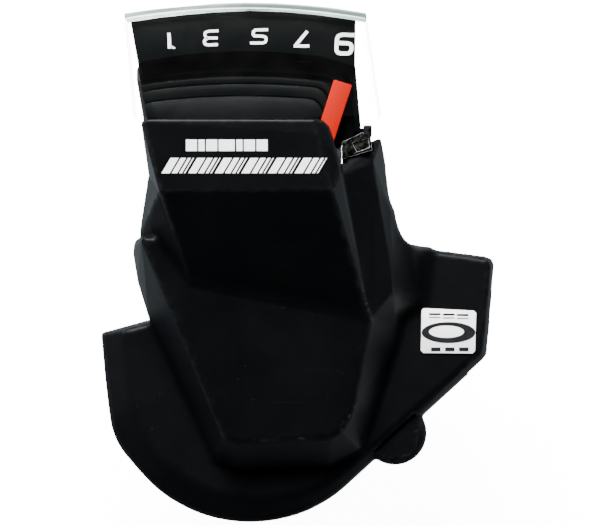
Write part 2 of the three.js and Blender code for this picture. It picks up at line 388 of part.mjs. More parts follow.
add('holding_pawl_spring', coil(2.35, 0.5, -6.4, -4.0, 3, holdPin[0], holdPin[1], [1.8, 2.2], 120), DARK_STEEL, 0.35, 1);
add('feed_pawl_spring', coil(2.35, 0.5, -14.9, -12.4, 3, feedPin[0], feedPin[1], [1.8, 2.2], 300), DARK_STEEL, 0.35, 1);

// ---------------------------------------------------------------- bottom of the axle
add('release_spacer', ring(AXLE_R + 0.2, 6.0, -17.3, -16.9), DARK_STEEL, 0.4, 1);
add('winder_spacer', ring(AXLE_R + 0.2, 5.2, -15.1, -11.3), GREY, 0.5);
add('lever_return_spring', coil(5.2, 1.0, -21.9, -20.2, 1.6, AX, AY, [5, 4], 250), DARK_STEEL, 0.35, 1);
add('axle_nut', cut(cup([hex(7.2, -23.0, -19.6, AX, AY)]), cyl(AXLE_R + 0.12, -25, -18, AX, AY, 28)), STEEL, 0.3, 1);

// ---------------------------------------------------------------- handlebar clamp
// One steel band, split on the rider's side, with a lug under the bracket.
const BOLT_Y = 17.9;
let band = cut(cylX(BAND_R, BAND_X0, BAND_X1, 0, 0, 48), cylX(BAR_R + 0.05, BAND_X0 - 1, BAND_X1 + 1, 0, 0, 48));
band = cup([band, box(BAND_X0, BAND_X1, 12.0, 22.0, -4.6, 4.6), box(2.6, 11.4, -22.0, -13.4, -4.2, -2.1)]);
band = cut(band, cylX(BAR_R + 0.05, BAND_X0 - 1, BAND_X1 + 1, 0, 0, 48), box(BAND_X0 - 1, BAND_X1 + 1, 9, 24, -1.1, 1.1), cyl(2.75, -6, 6, 7.0, BOLT_Y, 20), ...RIVETS.map(([x, y]) => cyl(1.35, -6, 0, x, y, 14)));
add('clamp_band', band, DARK_STEEL, 0.4, 1);
const bolt = cut(cup([cyl(2.45, -5.2, 8.6, 7.0, BOLT_Y, 20), cyl(4.1, -9.0, -4.9, 7.0, BOLT_Y, 28)]), hex(4.0, -10, -6.4, 7.0, BOLT_Y));
add('clamp_bolt', bolt, STEEL, 0.3, 1);
add('clamp_nut', cut(turn(hex(8.0, 4.9, 8.3, 7.0, BOLT_Y), 30, 7.0, BOLT_Y), cyl(2.65, 4, 9, 7.0, BOLT_Y, 20)), STEEL, 0.3, 1);
for (const [i, [x, y]] of RIVETS.entries())
  add('clamp_rivet_' + (i + 1), turned([[0, -5.1], [1.9, -5.1], [2.3, -4.5], [1.2, -4.5], [1.2, 0.2], [2.1, 0.2], [1.7, 0.8], [0, 0.8]], x, y, 18), STEEL, 0.3, 1);

// ---------------------------------------------------------------- cable stop and barrel adjuster
let stop = cup([cylX(4.4, ADJ_X0, ADJ_X1, ADJ_Y, ADJ_Z, 28), box(ADJ_X0, ADJ_X1, ADJ_Y - 4.4, ADJ_Y + 4.4, ADJ_Z - 1.4, -2.1), box(ADJ_X0, 20.0, -35.2, ADJ_Y - 4.0, -4.1, -2.1)]);
stop = cut(stop, cylX(STEM_R + 0.2, ADJ_X0 + 1.2, ADJ_X1 + 1, ADJ_Y, ADJ_Z, 24), cylX(1.0, ADJ_X0 - 1, ADJ_X1, ADJ_Y, ADJ_Z, 14), cyl(1.3, -5, 0, 16.8, -32.2, 14));
add('cable_stop', stop, GREY, 0.5);
const ribs = [];
for (let k = 0; k < 16; k++) {
  const a = (2 * Math.PI * k) / 16;
  ribs.push(cylX(0.42, 23.4, 32.6, ADJ_Y + 4.45 * Math.cos(a), ADJ_Z + 4.45 * Math.sin(a), 8));
}
let barrel = cup([turnedX([[0, 15.4], [STEM_R, 15.4], [STEM_R, 21.4], [4.0, 21.9], [4.4, 22.8], [4.4, 33.0], [3.9, 33.5], [0, 33.5]], ADJ_Y, ADJ_Z, 32), ...ribs]);
barrel = cut(barrel, cylX(0.9, 10, 40, ADJ_Y, ADJ_Z, 14), cylX(2.6, 25.5, 40, ADJ_Y, ADJ_Z, 24));
add('barrel_adjuster', barrel, BLACK, 0.5);
add('adjuster_seal', turnedX([[STEM_R + 0.2, 20.7], [4.2, 20.7], [4.2, 21.25], [STEM_R + 0.2, 21.25]], ADJ_Y, ADJ_Z, 24), BLACK, 0.7);
add('cable_stop_screw', cut(cup([cyl(1.15, -4.3, 0.3, 16.8, -32.2, 16), cyl(2.5, 0.15, 1.0, 16.8, -32.2, 20)]), box(15.1, 18.5, -32.45, -31.95, 0.6, 2), box(16.55, 17.05, -33.9, -30.5, 0.6, 2)), STEEL, 0.35, 1);

// ---------------------------------------------------------------- cover screws, from below
SCREWS.forEach(([x, y], i) => {
  const s = cut(cup([cyl(1.4, -2.2, i === 2 ? 5.6 : 0.9, x, y, 16), cyl(2.7, -3.9, -2.1, x, y, 20)]), box(x - 1.7, x + 1.7, y - 0.3, y + 0.3, -5, -3.2), box(x - 0.3, x + 0.3, y - 1.7, y + 1.7, -5, -3.2));
  add('cover_screw_' + (i + 1), s, STEEL, 0.35, 1);
});

// ---------------------------------------------------------------- lower housing
// A wall round the forward half of the mechanism, hung from the bracket.
const wallPts = [];
const W0 = 266, W1 = 352;
for (let k = 0; k <= 18; k++) wallPts.push(polar(19.9, W0 + ((W1 - W0) * k) / 18));
for (let k = 18; k >= 0; k--) wallPts.push(polar(18.8, W0 + ((W1 - W0) * k) / 18));
add('lower_housing', cut(plate(wallPts, -14.6, -1.3), bracketPlan(0.4, -2.1, 0), box(12.8, 21, -36, -30, -4.6, 0)), BLACK, 0.6);

export default group;
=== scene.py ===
import json
import math

import bmesh
import bpy
import numpy as np
from mathutils import Matrix, Vector


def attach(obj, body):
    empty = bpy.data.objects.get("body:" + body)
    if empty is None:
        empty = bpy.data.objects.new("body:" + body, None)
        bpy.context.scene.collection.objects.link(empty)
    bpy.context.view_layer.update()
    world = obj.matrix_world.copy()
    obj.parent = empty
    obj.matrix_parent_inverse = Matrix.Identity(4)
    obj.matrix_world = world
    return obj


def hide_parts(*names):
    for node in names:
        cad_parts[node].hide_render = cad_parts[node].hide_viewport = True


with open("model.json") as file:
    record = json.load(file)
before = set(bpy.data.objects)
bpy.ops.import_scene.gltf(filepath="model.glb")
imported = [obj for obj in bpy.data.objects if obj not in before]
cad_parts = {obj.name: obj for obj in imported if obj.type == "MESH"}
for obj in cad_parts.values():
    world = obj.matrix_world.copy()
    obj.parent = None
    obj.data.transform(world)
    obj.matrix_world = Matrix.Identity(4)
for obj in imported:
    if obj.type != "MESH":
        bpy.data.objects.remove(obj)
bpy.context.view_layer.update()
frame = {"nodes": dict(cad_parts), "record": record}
MM = 0.001

# ---------------------------------------------------------------- driving dimensions, in mm, as in the solid model
AX, AY = -2.5, -33.7
BAR_CLEAR_R, BAND_R, BAND_X0, BAND_X1 = 11.8, 14.3, 2.0, 12.0
WALL = 1.7
FLANGE_EDGE = [[-24.72, -25.42], [-24.5, -27.4], [-24.3, -29.9], [-24.11, -32.33], [-23.82, -34.8], [-23.53, -37.24], [-23.17, -39.54], [-22.53, -41.54], [-21.5, -43.4], [-20, -45.25], [-17.83, -47.7], [-15.82, -49.6], [-13.6, -51.16], [-10.85, -52.62], [-8.12, -53.62], [-5.05, -54.28], [-1.83, -54.51], [1.24, -54.3], [4.16, -53.72], [6.77, -52.85], [9.07, -51.72], [11.37, -50.25], [13.35, -48.6], [15.6, -46.45], [32.5, -30.5], [33.95, -29.75], [34.66, -28.8], [34.87, -27], [35.78, -15], [35.62, -14.2], [35.02, -13.72], [34.1, -13.45], [31.02, -13.08], [26.4, -12.47], [23.2, -12.15], [-16.9, -23.6]]
FLANGE_TOP = [[-20.7, -24.95], [-20.1, -32.54], [-19.1, -38.3], [-17.2, -42.9], [-13.2, -46.75], [-7.8, -49.75], [-1.4, -50.95], [5.08, -50.25], [10.42, -48], [14.5, -44.9], [17.4, -42.4], [24.78, -35.9], [31.9, -29.3], [33.4, -28.3], [33.9, -24.91], [34.85, -15.4], [34.3, -14.2], [31, -13.65], [26.4, -13.05], [23.2, -12.75], [-16.3, -24]]
WEDGE = [[-17.77, -10.81, 14], [-5.56, -40.92, 10.1], [-3.92, -41.68, 9.9], [10.34, -40.96, 9.5], [12.15, -39.91, 9.4], [13.64, -37.04, 9.7], [16.23, -23.2, 11], [13.6, -11.24, 11.8], [-19.65, -12, 2.5], [-19.2, -10.75, 2.5], [-19.75, -13.6, 2.5], [-19.0, -18, 2.5], [-17.25, -23.7, 2.5], [-7.31, -45.25, 2.5], [-3.33, -46.78, 2.5], [10.43, -46.17, 2.5], [15.32, -43.57, 2.5], [18.38, -35.62, 2.5], [21.74, -24.92, 2.5], [20.52, -12.69, 2.5]]
UPPER = [[-17.3, 5.9, 22], [-16.3, 6.3, 22], [7.9, 6.25, 22], [8.44, 4.08, 22], [10.63, -4.33, 21.2], [-14.72, -4.18, 21.2], [8.89, 6.33, 20.8], [10.06, 5.33, 20.4], [11.52, 0.67, 20.2], [11.82, -1.67, 20], [16.24, -23.21, 10.6], [-10.55, -17.65, 12.9], [-17.3, 6.1, 12.2], [-16.78, -1.5, 12.2], [-15.9, -5.2, 12.2], [9.11, 6.36, 12.2], [11.95, 0.69, 12.2], [16.09, -23.27, 8], [-10.45, -17.69, 8]]
SHOULDER = [[-16.78, -1.5, 12.2], [-14.9, -4.3, 20.6], [-16.09, -5.49, 15], [-16.53, -9.4, 13.5], [-17.05, -8.7, 12.6], [-17.6, -9.8, 11.4], [-18.3, -10.4, 9.5], [-10.6, -17.6, 12.8], [-12.5, -4.3, 20.6], [-10.5, -10, 13], [-16.78, -1.5, 9], [-17.05, -8.7, 9], [-10.5, -17.6, 9], [-12, -1.5, 12.2], [-12, -1.5, 9]]
ARM = [[11.85, -1.67, 19.5], [11.88, -0.2, 18.2], [16.6, 0.45, 16.5], [17.7, -5.3, 14.1], [19.3, -14.5, 10.5], [19.9, -19, 8.9], [16.2, -23.3, 10.5], [11.63, 1.54, 13.2], [17.86, 4.03, 14], [19.15, -6.3, 11.8], [20.3, -12, 8], [20.9, -12, 4], [22.35, -20.33, 2.5], [20.82, -27.21, 2.5], [12.72, -26.45, 2.5], [10.31, -0.8, 12], [12.72, -12.69, 2.5], [20.9, -12.38, 2.5]]
WEB = [[17.6, -5, 12.6], [17.6, -16, 10.5], [22.2, -10.0, 8.2], [22.2, -13, 7.4], [25.6, -12.5, 3.1], [24.6, -21, 3.0], [18.5, -24, 3.2], [17.6, -20, 8.0], [17.6, -5, 0.95], [25.6, -12.5, 0.95], [24.6, -21, 0.95], [18.5, -24, 0.95]]
FILLET = [25.35, -6.95, 5.6]
EAR, EAR_R, EAR_FLAT_R, EAR_TOP, EAR_DEG, EAR_STEP = [20.38, -40.76], 4.9, 4.15, 1.9, -46.7, -0.28
SCREWS = [[21.3, -41.75], [-17.0, -33.6], [15.6, -15.9]]
MAIN_DEG, RELEASE_DEG = 104, 76


# ---------------------------------------------------------------- signed distance helpers (mm)
def hull_planes(points):
    bm = bmesh.new()
    for p in points:
        bm.verts.new([float(v) for v in p])
    bmesh.ops.remove_doubles(bm, verts=bm.verts[:], dist=1e-4)
    bmesh.ops.convex_hull(bm, input=bm.verts[:])
    out = []
    c = sum((np.array(p, float) for p in points), np.zeros(3)) / len(points)
    for f in bm.faces:
        n = np.array(f.normal, float)
        if f.calc_area() < 1e-5 or np.linalg.norm(n) < 0.5:
            continue
        d = float(n @ np.array(f.verts[0].co, float))
        if n @ c > d:
            n, d = -n, -d
        if not any(float(n @ q[:3]) > 0.9997 and abs(d - q[3]) < 0.05 for q in out):
            out.append(np.array([*n, d]))
    bm.free()
    return np.array(out, np.float64)


def smax(a, b, k):
    if k <= 0:
        return np.maximum(a, b)
    h = np.clip(k - np.abs(a - b), 0, None) / k
    return np.maximum(a, b) + h * h * k * 0.25


def smin(a, b, k):
    return -smax(-a, -b, k)


def convex(P, pl, k=0.0, grow=0.0):
    W = P @ pl[:, :-1].T - pl[:, -1]
    m = W.max(1)
    if k <= 0:
        return m - grow
    n = pl[:, :-1]
    kk = (k * np.clip((1 - n @ n.T) * 2.5, 0, 1))[W.argmax(1)]
    h = np.clip(kk - (m[:, None] - W), 0, None)
    return m + (h * h / np.maximum(kk, 1e-6) * 0.25).max(1) - grow


def boxf(P, x0, x1, y0, y1, z0, z1):
    c = np.array([(x0 + x1) / 2, (y0 + y1) / 2, (z0 + z1) / 2])
    h = np.array([(x1 - x0) / 2, (y1 - y0) / 2, (z1 - z0) / 2])
    q = np.abs(P - c) - h
    return q.max(1)


def cylf(P, r, z0, z1, x, y):
    return np.maximum(np.hypot(P[:, 0] - x, P[:, 1] - y) - r, np.maximum(z0 - P[:, 2], P[:, 2] - z1))


def capsule2(P, a, b, ra, rb):
    """A tapered link in plan: the tangent hull of two discs."""
    a, b = np.array(a, float), np.array(b, float)
    d = b - a
    L = np.linalg.norm(d)
    u = d / L
    q = P[:, :2] - a
    x, y = q @ u, np.abs(q @ np.array([-u[1], u[0]]))
    s = (ra - rb) / L
    c = math.sqrt(1 - s * s)
    t = np.clip(x + y * s / c, 0, L)
    return np.hypot(x - t, y) - (ra + (rb - ra) * t / L)


def linkf(P, pts, z0, z1):
    f = None
    for p, q in zip(pts, pts[1:]):
        g = capsule2(P, p[:2], q[:2], p[2] / 2, q[2] / 2)
        f = g if f is None else np.minimum(f, g)
    return np.maximum(f, np.maximum(z0 - P[:, 2], P[:, 2] - z1))


def polar(r, deg):
    return [AX + r * math.cos(math.radians(deg)), AY + r * math.sin(math.radians(deg))]


def catmull(pts, n):
    p = np.array(pts, float)
    out = []
    for i in range(len(p) - 1):
        a, b, c, d = p[max(i - 1, 0)], p[i], p[i + 1], p[min(i + 2, len(p) - 1)]
        for k in range(n):
            t = k / n
            out.append(0.5 * (2 * b + (c - a) * t + (2 * a - 5 * b + 4 * c - d) * t * t + (3 * b - a - 3 * c + d) * t ** 3))
    out.append(p[-1])
    return [list(q) for q in out]


def surface_nets(fn, lo, hi, h, steps=3):
    """A closed quad mesh on the zero level of fn, its points moved on to the level exactly."""
    n = [int(math.ceil((b - a) / h)) + 1 for a, b in zip(lo, hi)]
    xs = [lo[i] + h * np.arange(n[i]) for i in range(3)]
    G = np.empty(n, np.float32)
    yy, xx = np.meshgrid(xs[1], xs[0])
    flat = np.stack([xx.ravel(), yy.ravel()], 1)
    for k, z in enumerate(xs[2]):
        P = np.column_stack([flat, np.full(len(flat), z)])
        G[:, :, k] = fn(P).reshape(n[0], n[1])
    G[0], G[-1] = 1, 1
    G[:, 0], G[:, -1] = 1, 1
    G[:, :, 0], G[:, :, -1] = 1, 1
    S = G < 0
    cnt = sum(S[i:n[0] - 1 + i, j:n[1] - 1 + j, k:n[2] - 1 + k].astype(np.int8) for i in (0, 1) for j in (0, 1) for k in (0, 1))
    mask = (cnt > 0) & (cnt < 8)
    idx = -np.ones(mask.shape, np.int64)
    cells = np.argwhere(mask)
    idx[mask] = np.arange(len(cells))
    acc, num = np.zeros((len(cells), 3)), np.zeros(len(cells))
    corners = [(i, j, k) for i in (0, 1) for j in (0, 1) for k in (0, 1)]
    for a in corners:
        for ax in range(3):
            if a[ax]:
                continue
            b = tuple(a[m] + (m == ax) for m in range(3))
            fa = G[cells[:, 0] + a[0], cells[:, 1] + a[1], cells[:, 2] + a[2]].astype(float)
            fb = G[cells[:, 0] + b[0], cells[:, 1] + b[1], cells[:, 2] + b[2]].astype(float)
            x = (fa < 0) != (fb < 0)
            t = np.where(x, fa / np.where(x, fa - fb, 1), 0)
            pos = np.array(a, float)[None] + t[:, None] * (np.array(b, float) - np.array(a, float))
            acc[x] += pos[x]
            num[x] += 1
    V = np.array(lo) + h * (cells + acc / num[:, None])
    quads = []
    for ax in range(3):
        b, c = (ax + 1) % 3, (ax + 2) % 3
        sl0, sl1 = [slice(None)] * 3, [slice(None)] * 3
        sl0[ax], sl1[ax] = slice(0, n[ax] - 1), slice(1, n[ax])
        x = S[tuple(sl0)] != S[tuple(sl1)]
        e = np.argwhere(x)
        inside = S[tuple(sl0)][x]
        ok = (e[:, b] > 0) & (e[:, c] > 0) & (e[:, b] < n[b] - 1) & (e[:, c] < n[c] - 1)
        e, inside = e[ok], inside[ok]

        def at(db, dc):
            q = e.copy()
            q[:, b] -= db
            q[:, c] -= dc
            return idx[q[:, 0], q[:, 1], q[:, 2]]

        q = np.stack([at(1, 1), at(0, 1), at(0, 0), at(1, 0)], 1)
        q[~inside] = q[~inside][:, ::-1]
        quads.append(q)
    Q = np.concatenate(quads)
    Q = Q[(Q >= 0).all(1)]
    e = 0.02
    for _ in range(steps):
        f = fn(V)
        g = np.stack([(fn(V + d) - fn(V - d)) / (2 * e) for d in np.eye(3) * e], 1)
        gg = np.clip((g * g).sum(1), 0.25, None)
        move = -(f / gg)[:, None] * g
        L = np.linalg.norm(move, axis=1)
        move *= np.minimum(1, 0.35 * h / np.maximum(L, 1e-9))[:, None]
        V = V + move
    g = np.stack([(fn(V + d) - fn(V - d)) / (2 * e) for d in np.eye(3) * e], 1)
    N = g / np.maximum(np.linalg.norm(g, axis=1), 1e-9)[:, None]
    return V, Q, N


def mesh_from(name, V, Q, N=None):
    me = bpy.data.meshes.new(name)
    me.vertices.add(len(V))
    me.vertices.foreach_set("co", (V * MM).astype(np.float32).ravel())
    me.loops.add(Q.size)
    me.loops.foreach_set("vertex_index", Q.astype(np.int32).ravel())
    me.polygons.add(len(Q))
    me.polygons.foreach_set("loop_start", (np.arange(len(Q)) * Q.shape[1]).astype(np.int32))
    me.update(calc_edges=True)
    me.validate()
    me.polygons.foreach_set("use_smooth", np.ones(len(me.polygons), bool))
    if N is not None:
        me.normals_split_custom_set_from_vertices([Vector(v) for v in N])
    o = bpy.data.objects.new(name, me)
    bpy.context.scene.collection.objects.link(o)
    return o


# ---------------------------------------------------------------- materials
def material(name):
    m = bpy.data.materials.new(name)
    m.use_nodes = True
    nt = m.node_tree
    nt.nodes.clear()
    out = nt.nodes.new("ShaderNodeOutputMaterial")
    bsdf = nt.nodes.new("ShaderNodeBsdfPrincipled")
    nt.links.new(bsdf.outputs[0], out.inputs[0])
    return m, nt, bsdf, out


def node(nt, kind, **kw):
    n = nt.nodes.new(kind)
    for k, v in kw.items():
        if k.startswith("i_"):
            key = k[2:]
            n.inputs[int(key) if key.isdigit() else key.replace("_", " ")].default_value = v
        else:
            setattr(n, k, v)
    return n


def noise(nt, vec, scale, detail=2.0, rough=0.5):
    n = node(nt, "ShaderNodeTexNoise")
    n.inputs["Scale"].default_value = scale
    n.inputs["Detail"].default_value = detail
    n.inputs["Roughness"].default_value = rough
    nt.links.new(vec, n.inputs["Vector"])
    return n.outputs["Fac"]


def ramp(nt, fac, stops):
    n = nt.nodes.new("ShaderNodeValToRGB")
    el = n.color_ramp.elements
    while len(el) > 1:
        el.remove(el[-1])
    el[0].position, el[0].color = stops[0][0], (*stops[0][1], 1)
    for p, c in stops[1:]:
        e = el.new(p)
        e.color = (*c, 1)
    nt.links.new(fac, n.inputs[0])
    return n.outputs[0]


def maprange(nt, v, a, b, c, d):
    n = nt.nodes.new("ShaderNodeMapRange")
    n.inputs[1].default_value, n.inputs[2].default_value = a, b
    n.inputs[3].default_value, n.inputs[4].default_value = c, d
    nt.links.new(v, n.inputs[0])
    return n.outputs[0]


def mixc(nt, fac, a, b):
    n = nt.nodes.new("ShaderNodeMix")
    n.data_type = "RGBA"
    for sock, v in ((n.inputs["Factor"], fac), (n.inputs[6], a), (n.inputs[7], b)):
        if isinstance(v, (int, float)):
            sock.default_value = v
        elif isinstance(v, tuple):
            sock.default_value = (*v, 1)
        else:
            nt.links.new(v, sock)
    return n.outputs[2]


def math_node(nt, op, a, b=None):
    n = nt.nodes.new("ShaderNodeMath")
    n.operation = op
    for i, v in enumerate((a, b)):
        if v is None:
            continue
        if isinstance(v, (int, float)):
            n.inputs[i].default_value = v
        else:
            nt.links.new(v, n.inputs[i])
    return n.outputs[0]


def coords(nt):
    return nt.nodes.new("ShaderNodeTexCoord").outputs["Object"]


def bump(nt, bsdf, h, strength, distance):
    n = nt.nodes.new("ShaderNodeBump")
    n.inputs["Strength"].default_value = strength
    n.inputs["Distance"].default_value = distance
    nt.links.new(h, n.inputs["Height"])
    nt.links.new(n.outputs[0], bsdf.inputs["Normal"])


def plastic(name, dark, light, r0, r1, grain=5200, grain_amt=0.35, specks=0.0, spec=0.35, edge=False):
    m, nt, b, _ = material(name)
    c = coords(nt)
    broad = noise(nt, c, 90, 4, 0.6)
    fine = noise(nt, c, grain, 2)
    col = ramp(nt, broad, [(0.25, dark), (0.75, light)])
    col = mixc(nt, maprange(nt, fine, 0.35, 0.75, 0.0, 0.3), col, tuple(min(1, v * 1.5) for v in light))
    if specks > 0:
        v = node(nt, "ShaderNodeTexVoronoi")
        v.inputs["Scale"].default_value = 900
        nt.links.new(c, v.inputs["Vector"])
        dot = math_node(nt, "LESS_THAN", v.outputs["Distance"], 0.075)
        sep = nt.nodes.new("ShaderNodeSeparateColor")
        nt.links.new(v.outputs["Color"], sep.inputs[0])
        rare = math_node(nt, "GREATER_THAN", sep.outputs[0], 0.86)
        col = mixc(nt, math_node(nt, "MULTIPLY", math_node(nt, "MULTIPLY", dot, rare), specks), col, (0.02, 0.021, 0.022))
        # hairline scratches: noise stretched along one direction
        for turn, cutoff in ((0.6, 0.745), (2.2, 0.755)):
            mp = nt.nodes.new("ShaderNodeMapping")
            mp.inputs["Rotation"].default_value = (0, 0, turn)
            mp.inputs["Scale"].default_value = (90, 3400, 90)
            nt.links.new(c, mp.inputs["Vector"])
            sc = noise(nt, mp.outputs[0], 1.0, 1)
            col = mixc(nt, math_node(nt, "MULTIPLY", maprange(nt, sc, cutoff, cutoff + 0.02, 0, 1), specks * 0.3), col, (0.008, 0.0085, 0.009))
    if edge:
        # convex edges lightened: partly rubbed wear, partly a painted highlight along the edges
        at = nt.nodes.new("ShaderNodeAttribute")
        at.attribute_name = "edge_wear_and_highlight"
        worn_and_highlight = math_node(nt, "MULTIPLY", at.outputs["Fac"], maprange(nt, noise(nt, c, 700, 4, 0.65), 0.42, 0.62, 0.12, 1.0))
        col = mixc(nt, math_node(nt, "MULTIPLY", worn_and_highlight, 0.22), col, (0.02, 0.021, 0.023))
    nt.links.new(col, b.inputs["Base Color"])
    nt.links.new(maprange(nt, broad, 0.3, 0.7, r0, r1), b.inputs["Roughness"])
    b.inputs["Specular IOR Level"].default_value = spec
    bump(nt, b, fine, grain_amt, 0.00003)
    return m


def steel(name, dark, light, r0, r1, scale=(40, 40, 1400), rot=(0, 0, 0)):
    m, nt, b, _ = material(name)
    c = coords(nt)
    mp = nt.nodes.new("ShaderNodeMapping")
    mp.inputs["Scale"].default_value = scale
    mp.inputs["Rotation"].default_value = rot
    nt.links.new(c, mp.inputs["Vector"])
    streak = noise(nt, mp.outputs[0], 3.0, 4, 0.6)
    cloud = noise(nt, c, 260, 3)
    col = ramp(nt, streak, [(0.3, dark), (0.7, light)])
    col = mixc(nt, maprange(nt, cloud, 0.4, 0.8, 0, 0.4), col, tuple(v * 0.7 for v in dark))
    nt.links.new(col, b.inputs["Base Color"])
    b.inputs["Metallic"].default_value = 1.0
    nt.links.new(maprange(nt, cloud, 0.3, 0.7, r0, r1), b.inputs["Roughness"])
    bump(nt, b, streak, 0.12, 0.00002)
    return m


def paint(name, a, b2, rough=0.45):
    m, nt, b, _ = material(name)
    c = coords(nt)
    n = noise(nt, c, 1500, 3)
    nt.links.new(ramp(nt, n, [(0.3, a), (0.7, b2)]), b.inputs["Base Color"])
    nt.links.new(maprange(nt, n, 0.3, 0.7, rough - 0.06, rough + 0.06), b.inputs["Roughness"])
    b.inputs["Specular IOR Level"].default_value = 0.06
    bump(nt, b, n, 0.1, 0.00001)
    return m


def clear_plastic(name):
    """Clear moulding: light goes straight through, less a tint, under a faint veil and hairline scratches. Along the
    walls, where a look from above goes down their whole depth, the tint is deeper and streaky: painted shade, darker
    towards the right."""
    m, nt, b, out = material(name)
    c = coords(nt)
    mm = nt.nodes.new("ShaderNodeVectorMath")
    mm.operation = "SCALE"
    mm.inputs["Scale"].default_value = 1000.0
    nt.links.new(c, mm.inputs[0])
    sep = nt.nodes.new("ShaderNodeSeparateXYZ")
    nt.links.new(mm.outputs[0], sep.inputs[0])
    x, y = sep.outputs[0], sep.outputs[1]
    M1 = lambda op, a, b=None: math_node(nt, op, a, b)
    # distance inside the arched rim, the left wall and the right wall, in mm
    arch = M1("SUBTRACT", M1("SUBTRACT", 23.4, M1("MULTIPLY", M1("POWER", M1("ADD", x, 2.2), 2.0), 0.0049)), y)
    left = M1("SUBTRACT", x, M1("SUBTRACT", -18.5, M1("MULTIPLY", M1("SUBTRACT", y, 6.6), 0.0888)))
    right = M1("SUBTRACT", M1("SUBTRACT", 17.66, M1("MULTIPLY", M1("SUBTRACT", y, 6.9), 0.1464)), x)
    # masks for painted shade: the arched rim, the side walls and a grey strip along the walls' outer edges
    rim_painted_shade = maprange(nt, arch, 0.82, 0.72, 0.0, 1.0)
    side_painted_shade = M1("MAXIMUM", maprange(nt, left, 0.66, 0.5, 0.0, 1.0), maprange(nt, right, 1.12, 0.95, 0.0, 1.0))
    edge = M1("MAXIMUM", maprange(nt, left, 0.16, 0.1, 0.0, 1.0), maprange(nt, right, 0.2, 0.12, 0.0, 1.0))
    tab = M1("MULTIPLY", M1("LESS_THAN", y, 5.6), M1("GREATER_THAN", x, 11.4))
    mp = nt.nodes.new("ShaderNodeMapping")
    mp.inputs["Scale"].default_value = (130, 900, 300)
    nt.links.new(c, mp.inputs["Vector"])
    streak = noise(nt, mp.outputs[0], 1.0, 4, 0.65)
    cloud = noise(nt, c, 260, 3)
    sc = nt.nodes.new("ShaderNodeMapping")
    sc.inputs["Rotation"].default_value = (0, 0, 1.2)
    sc.inputs["Scale"].default_value = (45, 3200, 45)
    nt.links.new(c, sc.inputs["Vector"])
    scratch = maprange(nt, noise(nt, sc.outputs[0], 1.0, 1), 0.745, 0.765, 0, 1)
    tint = mixc(nt, cloud, (0.985, 0.99, 0.988), (0.996, 0.998, 0.997))
    # painted shade: deeper, streaky tint down the side walls, and a grey strip at their outer edges
    tint = mixc(nt, side_painted_shade, tint, ramp(nt, streak, [(0.3, (0.90, 0.91, 0.885)), (0.6, (0.985, 0.985, 0.975))]))
    tint = mixc(nt, M1("MULTIPLY", edge, 0.8), tint, (0.62, 0.65, 0.64))
    # painted shade in the arched rim: dark tint, darker towards the right and lighter at its outer edge
    depth = M1("ADD", M1("ADD", M1("MULTIPLY", streak, 0.6), maprange(nt, x, -19.0, 14.0, 0.14, -0.06)), M1("MULTIPLY", maprange(nt, arch, 0.30, 0.12, 0.0, 1.0), 0.4))
    tint = mixc(nt, rim_painted_shade, tint, ramp(nt, depth, [(0.24, (0.07, 0.088, 0.084)), (0.38, (0.125, 0.145, 0.142)), (0.62, (0.32, 0.36, 0.35))]))
    # painted shade: the snap tab's near-black tint stands in for the dark under the tab
    tint = mixc(nt, tab, tint, ramp(nt, noise(nt, c, 1500, 3), [(0.4, (0.015, 0.017, 0.013)), (0.65, (0.055, 0.058, 0.046))]))
    b.inputs["Base Color"].default_value = (0.75, 0.78, 0.76, 1)
    nt.links.new(maprange(nt, cloud, 0.3, 0.7, 0.06, 0.12), b.inputs["Roughness"])
    b.inputs["Specular IOR Level"].default_value = 0.5
    t = nt.nodes.new("ShaderNodeBsdfTransparent")
    nt.links.new(tint, t.inputs[0])
    mix = nt.nodes.new("ShaderNodeMixShader")
    veil = M1("ADD", maprange(nt, cloud, 0.3, 0.7, 0.0005, 0.0013), M1("MULTIPLY", scratch, 0.008))
    veil = M1("ADD", veil, M1("MULTIPLY", tab, maprange(nt, noise(nt, c, 2200, 2), 0.45, 0.7, 0.0, 0.02)))
    nt.links.new(veil, mix.inputs[0])
    nt.links.new(t.outputs[0], mix.inputs[1])
    nt.links.new(b.outputs[0], mix.inputs[2])
    nt.links.new(mix.outputs[0], out.inputs[0])
    return m


def clear_edge_highlight(name):
    """Eased edges of the clear moulding, which catch the light: a painted highlight, whitish diffuse over a dark
    clear tint.
    """
    m, nt, b, out = material(name)
    c = coords(nt)
    n = noise(nt, c, 900, 3)
    b.inputs["Base Color"].default_value = (0.8, 0.82, 0.8, 1)
    nt.links.new(maprange(nt, n, 0.3, 0.7, 0.1, 0.2), b.inputs["Roughness"])
    t = nt.nodes.new("ShaderNodeBsdfTransparent")
    nt.links.new(ramp(nt, n, [(0.3, (0.10, 0.11, 0.10)), (0.7, (0.24, 0.25, 0.23))]), t.inputs[0])
    mix = nt.nodes.new("ShaderNodeMixShader")
    nt.links.new(maprange(nt, n, 0.35, 0.65, 0.22, 0.5), mix.inputs[0])
    nt.links.new(t.outputs[0], mix.inputs[1])
    nt.links.new(b.outputs[0], mix.inputs[2])
    nt.links.new(mix.outputs[0], out.inputs[0])
    return m


